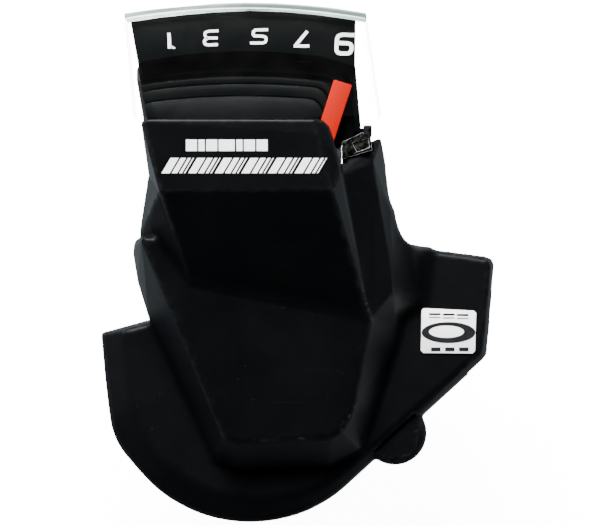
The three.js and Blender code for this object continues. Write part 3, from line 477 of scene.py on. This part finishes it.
M = {
    "cover": plastic("cover_black", (0.0007, 0.0009, 0.0012), (0.0013, 0.0015, 0.0019), 0.38, 0.48, 4600, 0.4, specks=0.5, spec=0.06, edge=True),
    "dial": plastic("dial_black", (0.0008, 0.0012, 0.0013), (0.0013, 0.0018, 0.0019), 0.36, 0.46, 7000, 0.15, specks=0.2, spec=0.06),
    "lever": plastic("lever_black", (0.003, 0.0032, 0.0036), (0.005, 0.0052, 0.0058), 0.45, 0.58, 3800, 0.5, specks=0.3, spec=0.25),
    "grey": plastic("acetal_grey", (0.055, 0.058, 0.062), (0.08, 0.084, 0.09), 0.35, 0.48, 6000, 0.15),
    "orange": plastic("needle_orange", (0.235, 0.0035, 0.0001), (0.262, 0.005, 0.0002), 0.5, 0.6, 6000, 0.12, spec=0.03),
    "rubber": plastic("seal_rubber", (0.008, 0.008, 0.008), (0.013, 0.013, 0.013), 0.6, 0.75, 5000, 0.3),
    "zinc": steel("zinc_steel", (0.50, 0.51, 0.53), (0.68, 0.69, 0.71), 0.26, 0.4),
    "dark": steel("black_steel", (0.06, 0.063, 0.067), (0.10, 0.104, 0.11), 0.32, 0.46),
    "spring": steel("spring_wire", (0.33, 0.34, 0.36), (0.5, 0.51, 0.53), 0.22, 0.35, (300, 300, 300)),
    "white": paint("print_white", (0.86, 0.88, 0.88), (0.93, 0.94, 0.94), 0.5),
    "silver": paint("print_silver", (0.46, 0.47, 0.49), (0.62, 0.63, 0.65), 0.4),
    "ink": paint("print_ink", (0.006, 0.007, 0.008), (0.010, 0.011, 0.012), 0.5),
    "badge": paint("badge_foil", (0.88, 0.9, 0.89), (0.94, 0.95, 0.94), 0.4),
    "clear": clear_plastic("clear_window"),
    "clear_edge_highlight": clear_edge_highlight("clear_edge_highlight"),
}
MAT_OF = {
    "base_bracket": "zinc", "main_axle": "zinc", "needle_circlip": "spring", "cable_drum": "grey", "index_ratchet": "zinc",
    "feed_ratchet": "zinc", "winder_return_spring": "spring", "release_lever": "zinc", "main_lever": "zinc", "feed_pawl_pin": "zinc",
    "feed_pawl": "zinc", "holding_pawl_pin": "zinc", "holding_pawl": "zinc", "holding_pawl_spring": "spring", "feed_pawl_spring": "spring",
    "release_spacer": "dark", "winder_spacer": "grey", "lever_return_spring": "spring", "axle_nut": "zinc", "clamp_band": "dark",
    "clamp_bolt": "zinc", "clamp_nut": "zinc", "clamp_rivet_1": "zinc", "clamp_rivet_2": "zinc", "cable_stop": "grey",
    "barrel_adjuster": "lever", "adjuster_seal": "rubber", "cable_stop_screw": "zinc", "cover_screw_1": "zinc", "cover_screw_2": "zinc",
    "cover_screw_3": "zinc", "lower_housing": "lever", "display_floor": "dial", "display_window": "clear", "indicator_needle": "orange", "wing_badge": "badge",
}
BODY_OF = {}
for _b, _members in frame["record"]["behaviour"]["bodies"].items():
    for _n in _members:
        BODY_OF[_n] = _b


# ---------------------------------------------------------------- CAD nodes with eased edges
def refine(name, bevel=0.12, angle=32):
    """The node's own shape with its edges eased, as a new piece on the same body."""
    src = frame["nodes"][name]
    bm = bmesh.new()
    bm.from_mesh(src.data)
    bmesh.ops.remove_doubles(bm, verts=bm.verts[:], dist=0.004 * MM)
    bmesh.ops.dissolve_limit(bm, angle_limit=math.radians(1.2), use_dissolve_boundaries=False, verts=bm.verts[:], edges=bm.edges[:], delimit={"NORMAL"})
    bmesh.ops.recalc_face_normals(bm, faces=bm.faces[:])
    if bevel > 0:
        sharp = [e for e in bm.edges if len(e.link_faces) == 2 and e.calc_face_angle(0) > math.radians(angle)]
        if sharp:
            bmesh.ops.bevel(bm, geom=sharp, offset=bevel * MM, offset_type="OFFSET", segments=2, profile=0.5, affect="EDGES", clamp_overlap=True, loop_slide=True)
    bmesh.ops.triangulate(bm, faces=[f for f in bm.faces if len(f.verts) > 4])
    for f in bm.faces:
        f.smooth = True
    for e in bm.edges:
        e.smooth = not (len(e.link_faces) == 2 and e.calc_face_angle(0) > math.radians(34))
    me = bpy.data.meshes.new("fine_" + name)
    bm.to_mesh(me)
    bm.free()
    o = bpy.data.objects.new("fine_" + name, me)
    bpy.context.scene.collection.objects.link(o)
    key = MAT_OF[name]
    me.materials.append(M[key])
    if name == "display_window":
        # the window's sloped faces at the snap tab take the painted highlight material
        me.materials.append(M["clear_edge_highlight"])
        for f in me.polygons:
            c, n = f.center / MM, f.normal
            if c.y < 5.4 and c.x > 11.4 and 0.15 < n.z < 0.97:
                f.material_index = 1
    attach(o, BODY_OF[name])
    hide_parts(name)
    return o


BEVEL = {"display_window": 0.3, "display_floor": 0.12, "indicator_needle": 0.35, "clamp_band": 0.35, "base_bracket": 0.12, "barrel_adjuster": 0.1, "lower_housing": 0.3,
         "winder_return_spring": 0, "holding_pawl_spring": 0, "feed_pawl_spring": 0, "lever_return_spring": 0, "main_lever": 0.2, "release_lever": 0.18, "wing_badge": 0.03,
         "cable_drum": 0.15, "axle_nut": 0.2, "clamp_nut": 0.3, "clamp_bolt": 0.25, "cable_stop": 0.25}
for _n in MAT_OF:
    refine(_n, BEVEL.get(_n, 0.1))


# ---------------------------------------------------------------- the moulded cover
_edge = catmull(FLANGE_EDGE[:24], 4) + FLANGE_EDGE[24:]
_top = catmull(FLANGE_TOP[:11], 6) + FLANGE_TOP[11:]
FL = hull_planes([[x, y, -1.0] for x, y in _edge] + [[x, y, 0.9] for x, y in _edge] + [[x, y, 3.0] for x, y in _top])
FL_TOP, FL_SLOPE = FL[FL[:, 2] > 0.97], FL[(FL[:, 2] > 0.12) & (FL[:, 2] <= 0.97)]
FL_SIDE, FL_BOT = FL[np.abs(FL[:, 2]) <= 0.12], FL[FL[:, 2] < -0.5]
WE, UP, SH, AR, WB = [hull_planes(h) for h in (WEDGE, UPPER, SHOULDER, ARM, WEB)]


def flange(P, k=0.7):
    side = smax(convex(P, FL_SIDE), convex(P, FL_SLOPE), k)
    return smax(smax(side, convex(P, FL_TOP), k), convex(P, FL_BOT), 0.25)


def cover_outer(P, sharp=False):
    q = 0.0 if sharp else 1.0
    up = smin(convex(P, UP, 0.45 * q), convex(P, SH, 0.5 * q), 0.25)
    f = smin(flange(P, 0.6 * q), smin(smin(convex(P, WE, 0.8 * q), up, 0.8), convex(P, AR, 0.35 * q), 0.3), 0.7)
    web = smax(convex(P, WB, 0.5 * q), FILLET[2] - np.hypot(P[:, 0] - FILLET[0], P[:, 1] - FILLET[1]), 0.4 * q)
    f = smin(f, web, 1.6)
    r = np.hypot(P[:, 0] - EAR[0], P[:, 1] - EAR[1])
    slope = (r - EAR_R + (P[:, 2] - (EAR_TOP - 0.7)) * (EAR_R - EAR_FLAT_R) / 0.7) * 0.68
    ear = smax(smax(r - EAR_R, slope, 0.3 * q), np.maximum(P[:, 2] - EAR_TOP, -1.0 - P[:, 2]), 0.25 * q)
    f = smin(f, ear, 0.5)
    # D-shaped flat in the ear, sunk into the flange's slope
    c, t = math.cos(math.radians(EAR_DEG)), math.sin(math.radians(EAR_DEG))
    d = np.maximum(r - EAR_FLAT_R, EAR_STEP - ((P[:, 0] - EAR[0]) * c + (P[:, 1] - EAR[1]) * t))
    return smax(f, -np.maximum(d, EAR_TOP - P[:, 2]), 0.1)


def inner_of(P, pl, keep, t=WALL):
    q = pl[[i for i in range(len(pl)) if keep(pl[i])]]
    return convex(P, q) + t


def cover_inner(P):
    down = lambda q: q[2] > -0.35
    f = inner_of(P, FL, down)
    f = np.minimum(f, inner_of(P, WE, down))
    f = np.minimum(f, inner_of(P, AR, down))
    up = np.maximum(inner_of(P, UP, lambda q: q[2] > -0.35 and q[1] < 0.6), np.maximum(10.2 - P[:, 2], P[:, 1] - 9))
    f = np.minimum(f, up)
    return np.maximum(f, -boxf(P, 12.2, 18.5, -1.5, 6, 12.2, 14.6))  # solid under the snap tab's pocket


def bracket_plan(P, g):
    f = np.hypot(P[:, 0] - AX, P[:, 1] - AY) - 16.4 - g
    f = np.minimum(f, capsule2(P, (AX, AY), SCREWS[0], 6 + g, 3.5 + g))
    f = np.minimum(f, capsule2(P, (AX + 4, AY + 6), SCREWS[2], 8 + g, 3.5 + g))
    f = np.minimum(f, capsule2(P, (8, -30), (16.8, -32.2), 4 + g, 3.5 + g))
    b = np.maximum(np.maximum(2.6 - g - P[:, 0], P[:, 0] - 11.4 - g), np.maximum(-26 - P[:, 1], P[:, 1] + 15.0 - g))
    return np.minimum(f, b)


def plan_lines(points):
    """Outward lines of a convex outline in plan, as rows nx, ny, d."""
    p = np.array(points, float)
    c, out = p.mean(0), []
    for a, b in zip(p, np.roll(p, -1, 0)):
        n = np.array([b[1] - a[1], a[0] - b[0]]) / np.linalg.norm(b - a)
        if n @ (c - a) > 0:
            n = -n
        out.append([*n, n @ a])
    return np.array(out)


POCKET = plan_lines([[11.7, 3.4], [16.0, 5.5], [16.75, 5.5], [16.75, 1.75], [11.7, 0.2]])


def cover_fn(P):
    f = np.maximum(cover_outer(P), -cover_inner(P))
    r = np.hypot(P[:, 1], P[:, 2])
    f = smax(f, BAR_CLEAR_R - r, 0.25)
    f = np.maximum(f, np.minimum(BAND_R + 0.8 - r, np.minimum(P[:, 0] - BAND_X0 + 1, BAND_X1 + 0.12 - P[:, 0])))
    f = smax(f, -boxf(P, -15.2, 9, 1.2, 9, 12.0, 18.9), 0.15)
    f = smax(f, -boxf(P, 7.5, 12.8, 0.0, 9, 14.6, 18.9), 0.15)
    f = smax(f, -boxf(P, 7.5, 12.8, 2.25, 9, 12.0, 15.0), 0.15)
    f = np.maximum(f, -boxf(P, 19.5, 40, -31.5, -10, -3, 0.9))
    f = np.maximum(f, np.minimum(0.3 - P[:, 2], -bracket_plan(P, 0.4)))
    # pocket for the window's snap tab
    pocket = convex(P[:, :2], POCKET)
    f = smax(f, -np.maximum(pocket, 14.6 - P[:, 2]), 0.15)
    for i, (x, y) in enumerate(SCREWS):
        f = smin(f, cylf(P, 2.75, 0.3, (EAR_TOP, 1.9, 8.5)[i], x, y), 0.15)
    for i, (x, y) in enumerate(SCREWS):
        f = np.maximum(f, -cylf(P, 1.6, -3, (0.95, 1.5, 6.5)[i], x, y))
    return f


H = 0.34
V, Q, N = surface_nets(cover_fn, (-25.4, -55.2, -2.0), (36.6, 7.4, 23.0), H)
cover = mesh_from("cover_shell", V, Q, N)
# wear and a painted highlight collect on convex edges: how fast the normal turns across each mesh edge
_e = np.concatenate([Q[:, [0, 1]], Q[:, [1, 2]], Q[:, [2, 3]], Q[:, [3, 0]]])
_dv, _dn = V[_e[:, 1]] - V[_e[:, 0]], N[_e[:, 1]] - N[_e[:, 0]]
_c = (_dv * _dn).sum(1) / np.maximum((_dv * _dv).sum(1), 1e-6)
_wear_and_highlight = np.zeros(len(V))
np.maximum.at(_wear_and_highlight, _e[:, 0], _c)
np.maximum.at(_wear_and_highlight, _e[:, 1], _c)
_wear_and_highlight = np.clip((_wear_and_highlight - 0.35) / 1.2, 0, 1) * (np.abs(cover_outer(V)) < 0.06)
_a = cover.data.attributes.new("edge_wear_and_highlight", "FLOAT", "POINT")
_a.data.foreach_set("value", _wear_and_highlight.astype(np.float32))
cover.data.materials.append(M["cover"])
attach(cover, "housing")
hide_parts("top_cover")


# ---------------------------------------------------------------- finger pads
def turned_points(local, deg):
    c, s = math.cos(math.radians(deg)), math.sin(math.radians(deg))
    return [[AX + x * c - y * s, AY + x * s + y * c, z] for x, y, z in local]


REL = [
    [[35.6, -3.8, -17.6], [35.6, 3.8, -17.6], [46.6, -4.6, -17.8], [46.6, 4.6, -17.8], [35.6, -3.8, -14.9], [35.6, 3.8, -14.9], [46.6, -4.6, -14.7], [46.6, 4.6, -14.7]],
    [[45.2, -4.5, -15.6], [45.2, 4.5, -15.6], [48.6, -4.6, -15.9], [48.6, 4.6, -15.9], [46.9, -4.0, -12.5], [46.9, 4.0, -12.5], [49.0, -4.0, -12.5], [49.0, 4.0, -12.5]],
]
MAINP = [
    [[33.5, -4.4, -20.6], [33.5, 4.4, -20.6], [44, -6.2, -21.4], [44, 6.2, -21.4], [33.5, -4.4, -16.9], [33.5, 4.4, -16.9], [44, -6.2, -16.9], [44, 6.2, -16.9]],
    [[43.9, -6.2, -21.4], [43.9, 6.2, -21.4], [52.4, -5.4, -22.6], [52.4, 5.4, -22.6], [43.9, -6.2, -16.9], [43.9, 6.2, -16.9], [53.6, -5.0, -16.0], [53.6, 5.0, -16.0], [51.0, -5.6, -15.4], [51.0, 5.6, -15.4]],
    [[39.5, -6.0, -24.4], [39.5, -3.8, -24.4], [52.0, -5.2, -25.2], [52.0, -3.2, -25.2], [37.5, -5.6, -20.6], [37.5, -3.4, -20.6], [52.4, -5.4, -21.6], [52.4, -3.2, -21.6]],
]


def pad(name, node_name, body, hulls, deg, slot_links, z0, z1, ribs):
    pls = [hull_planes(turned_points(h, deg)) for h in hulls]
    c, s = math.cos(math.radians(deg)), math.sin(math.radians(deg))

    def fn(P):
        f = None
        for pl in pls:
            g = convex(P, pl, 1.1)
            f = g if f is None else smin(f, g, 1.2)
        x, y = P[:, 0] - AX, P[:, 1] - AY
        R, T = x * c + y * s, -x * s + y * c
        f = f + ribs(R, T, P[:, 2])
        return smax(f, -linkf(P, slot_links, z0, z1), 0.15)

    pts = np.array([p for h in hulls for p in turned_points(h, deg)])
    lo, hi = pts.min(0) - 1, pts.max(0) + 1
    V, Q, N = surface_nets(fn, tuple(lo), tuple(hi), 0.3)
    o = mesh_from(name, V, Q, N)
    o.data.materials.append(M["lever"])
    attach(o, body)
    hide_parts(node_name)
    return o


def grooves(R, first, pitch, count, width, depth):
    g = np.zeros_like(R)
    for i in range(count):
        d = np.abs(R - first - pitch * i)
        g = np.maximum(g, np.clip(1 - d / width, 0, 1))
    return g * depth


pad("release_grip", "release_pad", "release_lever_body", REL, RELEASE_DEG, [[AX, AY, 11], [*polar(20, RELEASE_DEG), 7.0], [*polar(44, RELEASE_DEG), 5.6]], -16.9, -15.1,
    lambda R, T, Z: grooves(R, 38.5, 1.9, 4, 0.5, 0.35) * (Z < -16.6) * (np.abs(T) < 3.3))
pad("thumb_grip", "thumb_pad", "main_lever_body", MAINP, MAIN_DEG, [[AX, AY, 14], [*polar(24, MAIN_DEG), 8.6], [*polar(47, MAIN_DEG), 7.0]], -19.5, -17.3,
    lambda R, T, Z: grooves(R, 41.5, 2.0, 5, 0.55, 0.4) * (Z < -20.2) * (T > -2.8) * (T < 5.4))


# ---------------------------------------------------------------- printing: digits, plate graphics, badge
def height(x, y, z0=1.0, z1=23.0):
    """Top of the cover at (x, y), by bisection from above."""
    x, y = np.atleast_1d(np.asarray(x, float)), np.atleast_1d(np.asarray(y, float))
    zs = np.linspace(z1, z0, 120)
    P = np.stack([np.repeat(x, len(zs)), np.repeat(y, len(zs)), np.tile(zs, len(x))], 1)
    f = cover_outer(P).reshape(len(x), -1)
    k = np.argmax(f < 0, axis=1)
    a, b = zs[np.maximum(k - 1, 0)], zs[k]
    for _ in range(14):
        m = (a + b) / 2
        v = cover_outer(np.stack([x, y, m], 1))
        a, b = np.where(v > 0, m, a), np.where(v > 0, b, m)
    return (a + b) / 2


def drape(name, polys, key, lift=0.03, z=None, cells=6):
    """Thin printed shapes, each a four-cornered patch laid on the surface."""
    V, F = [], []
    for p in polys:
        p = np.array(p, float)
        n = cells
        base = len(V)
        for i in range(n + 1):
            for j in range(n + 1):
                u, v = i / n, j / n
                q = (1 - u) * (1 - v) * p[0] + u * (1 - v) * p[1] + u * v * p[2] + (1 - u) * v * p[3]
                V.append(q)
        for i in range(n):
            for j in range(n):
                a = base + i * (n + 1) + j
                F.append([a, a + n + 1, a + n + 2, a + 1])
    V = np.array(V)
    zz = height(V[:, 0], V[:, 1]) if z is None else np.full(len(V), z)
    V3 = np.column_stack([V, zz + lift])
    # close it into a thin film
    Q = np.array(F)
    o = mesh_from(name, V3, Q)
    o.data.polygons.foreach_set("use_smooth", np.zeros(len(o.data.polygons), bool))
    sol = o.modifiers.new("film", "SOLIDIFY")
    sol.thickness, sol.offset = 0.02 * MM, 0
    o.data.materials.append(M[key])
    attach(o, "housing")
    return o


def px(x, y, z):
    """A point seen at image position (x, y) on the plane at height z."""
    k = (400.0 - z) / 2600.0
    return [5.46 + (x - 297.5) * k, -14.6 - (y - 262.5) * k]


def stroke(path, w, z, rounds=1, close=False):
    """Quads of a line of width w through image positions, its corners cut round."""
    p = np.array(path, float)
    for _ in range(rounds):
        q = [p[0]] if not close else []
        n = len(p)
        for i in range(n if close else n - 1):
            a, b = p[i], p[(i + 1) % n]
            L = np.linalg.norm(b - a)
            r = min(0.28, 1.6 / max(L, 1e-6))
            first, last = (i == 0 and not close), (i == n - 2 and not close)
            if not first:
                q.append(a + (b - a) * r)
            if not last:
                q.append(b - (b - a) * r)
        if not close:
            q.append(p[-1])
        p = np.array(q)
    n = len(p)
    L, R = [], []
    for i in range(n):
        a = p[i] - p[i - 1] if (i > 0 or close) else p[1] - p[0]
        b = p[(i + 1) % n] - p[i] if (i < n - 1 or close) else p[-1] - p[-2]
        a, b = a / np.linalg.norm(a), b / np.linalg.norm(b)
        t = a + b
        t /= max(np.linalg.norm(t), 1e-6)
        m = np.array([-t[1], t[0]]) * (w / 2) / max(0.55, float(t @ b))
        L.append(p[i] + m)
        R.append(p[i] - m)
    out = []
    for i in range(n if close else n - 1):
        k = (i + 1) % n
        out.append([px(*L[i], z), px(*L[k], z), px(*R[k], z), px(*R[i], z)])
    return out


Z_BAND = 18.31
DIGITS = {
    "digit_1": [([(168.9, 32.9), (169.6, 48.6)], 3.4, 0), ([(170.6, 47.4), (175.0, 48.0)], 1.7, 0), ([(170.8, 45.9), (173.4, 47.4)], 1.6, 0)],
    "digit_3": [([(218.4, 30.7), (207.5, 31.3), (204.6, 33.0), (205.2, 36.6), (207.6, 38.0), (217.6, 38.0)], 2.7, 1), ([(208.2, 38.2), (204.2, 40.0), (204.6, 43.9), (207.6, 45.0), (217.8, 44.5)], 2.8, 1)],
    "digit_5": [([(268.0, 29.6), (253.7, 30.0), (252.9, 35.9), (263.9, 36.3), (266.4, 37.8), (265.8, 41.8), (263.2, 43.0), (250.1, 43.0)], 2.8, 1)],
    "digit_7": [([(307.4, 31.2), (296.0, 44.8)], 3.2, 0), ([(293.9, 46.0), (309.2, 46.0)], 3.0, 0)],
    "digit_9": [([(354.6, 35.2), (341.0, 34.6), (337.2, 37.0), (336.2, 50.6), (338.8, 53.4), (348.6, 53.6), (351.2, 51.2), (351.8, 46.0), (349.6, 43.4), (338.0, 42.9)], 3.9, 1)],
}
for name, parts in DIGITS.items():
    quads = []
    for path, w, rounds in parts:
        quads += stroke(path, w, Z_BAND, rounds)
    drape(name, quads, "white", z=Z_BAND, cells=1, lift=0.015)


def bar(x0, y0, x1, y1, z, lean=0.0):
    """An upright or leaning bar between two image positions."""
    return [px(x0, y1, z), px(x1, y1, z), px(x1 + lean, y0, z), px(x0 + lean, y0, z)]


# Plate graphics: a row of plain blocks over a row of leaning speed stripes.
blocks, x = [], 186.0
for w in (11.0, 6.0, 11.0, 16.0, 6.0, 11.0, 11.0):
    blocks.append(bar(x, 139.6, x + w, 151.0, 21.7))
    x += w + 1.6
drape("plate_bars", blocks, "white", cells=3)
marks = []
for i in range(6):
    x0, z = 161.5 + i * 26.6, 21.5
    for a, b in ((0.0, 8.2), (10.2, 15.6), (17.6, 20.4), (22.4, 23.6)):
        marks.append(bar(x0 + a, 158.0, x0 + b, 173.2, z, 9.0))
drape("plate_marks", marks, "white", cells=3)

# Badge: a dark ring of uneven width between two rows of small bars.
ZB = 3.25
ring = []
for k in range(40):
    q = []
    for a in (k, k + 1):
        u = 2 * math.pi * a / 40
        q.append((px(448.5 + 27.0 * math.cos(u), 332.5 + 10.5 * math.sin(u), ZB), px(446.5 + 17.5 * math.cos(u), 331.6 + 6.2 * math.sin(u), ZB)))
    ring.append([q[0][0], q[1][0], q[1][1], q[0][1]])
drape("badge_ring", ring, "ink", z=ZB, cells=1)
small = []
for i, x in enumerate((429.0, 443.0, 457.0)):
    small.append(bar(x, 313.2 + 0.4 * i, x + 11.5, 315.0 + 0.4 * i, ZB))
    small.append(bar(x, 317.0 + 0.4 * i, x + 11.5, 317.9 + 0.4 * i, ZB))
for i, x in enumerate((431.0, 445.0, 459.0)):
    small.append(bar(x, 347.4, x + 9.5, 351.2, ZB))
drape("badge_bars", small, "ink", z=ZB, cells=1)

# ---------------------------------------------------------------- floor, light, camera
bpy.ops.mesh.primitive_plane_add(size=3.0, location=(0, 0, -0.030))
floor = bpy.context.object
floor.name = "floor"
fm, nt, b, _ = material("floor_white")
n = noise(nt, coords(nt), 3.0, 2)
nt.links.new(ramp(nt, n, [(0.3, (0.88, 0.88, 0.88)), (0.7, (0.92, 0.92, 0.92))]), b.inputs["Base Color"])
b.inputs["Roughness"].default_value = 0.8
b.inputs["Emission Color"].default_value = (1, 1, 1, 1)
b.inputs["Emission Strength"].default_value = 13.0
floor.data.materials.append(fm)
floor.visible_glossy = False  # the black plastic mirrors the dim studio, not the lit floor

world = bpy.data.worlds.new("studio")
bpy.context.scene.world = world
world.use_nodes = True
wt = world.node_tree
bg = wt.nodes["Background"]
wc = wt.nodes.new("ShaderNodeTexCoord")
sep = wt.nodes.new("ShaderNodeSeparateXYZ")
wt.links.new(wc.outputs["Generated"], sep.inputs[0])
# pale below the horizon, dim overhead, with a strong bounce low on the right
_bounce = wt.nodes.new("ShaderNodeVectorMath")
_bounce.operation = "ADD"
_side = math_node(wt, "MULTIPLY", maprange(wt, sep.outputs[0], 0.45, 0.75, 0, 1), math_node(wt, "MULTIPLY", maprange(wt, sep.outputs[2], -0.75, -0.55, 0, 1), maprange(wt, sep.outputs[2], -0.12, -0.3, 0, 1)))
wt.links.new(mixc(wt, _side, (0.0, 0.0, 0.0), (2.0, 2.2, 2.3)), _bounce.inputs[1])
wt.links.new(_bounce.outputs[0], bg.inputs[0])
wt.links.new(ramp(wt, maprange(wt, sep.outputs[2], -0.8, 0.1, 0, 1), [(0.0, (0.80, 0.93, 0.97)), (0.42, (0.22, 0.25, 0.26)), (0.72, (0.03, 0.032, 0.034)), (1.0, (0.012, 0.013, 0.015))]), _bounce.inputs[0])
bg.inputs[1].default_value = 1.0


def area(name, loc, target, size, power):
    l = bpy.data.lights.new(name, "AREA")
    l.shape, l.size, l.energy = "SQUARE", size, power
    o = bpy.data.objects.new(name, l)
    o.location = loc
    o.rotation_euler = (Vector(target) - Vector(loc)).to_track_quat("-Z", "Y").to_euler()
    bpy.context.scene.collection.objects.link(o)
    return o


area("key_rear", (-0.08, 0.60, 0.50), (0, -0.015, 0), 0.4, 40)
area("fill_left", (-0.62, 0.22, 0.20), (0, -0.015, 0), 0.25, 5)

cam_data = bpy.data.cameras.new("camera")
cam_data.sensor_fit = "HORIZONTAL"
cam_data.sensor_width = 36.0
cam_data.lens = 2600.0 / 595.0 * 36.0
cam_data.clip_start, cam_data.clip_end = 0.01, 20
cam = bpy.data.objects.new("camera", cam_data)
cam.location = (5.46 * MM, -14.6 * MM, 0.4)
bpy.context.scene.collection.objects.link(cam)
bpy.context.scene.camera = cam
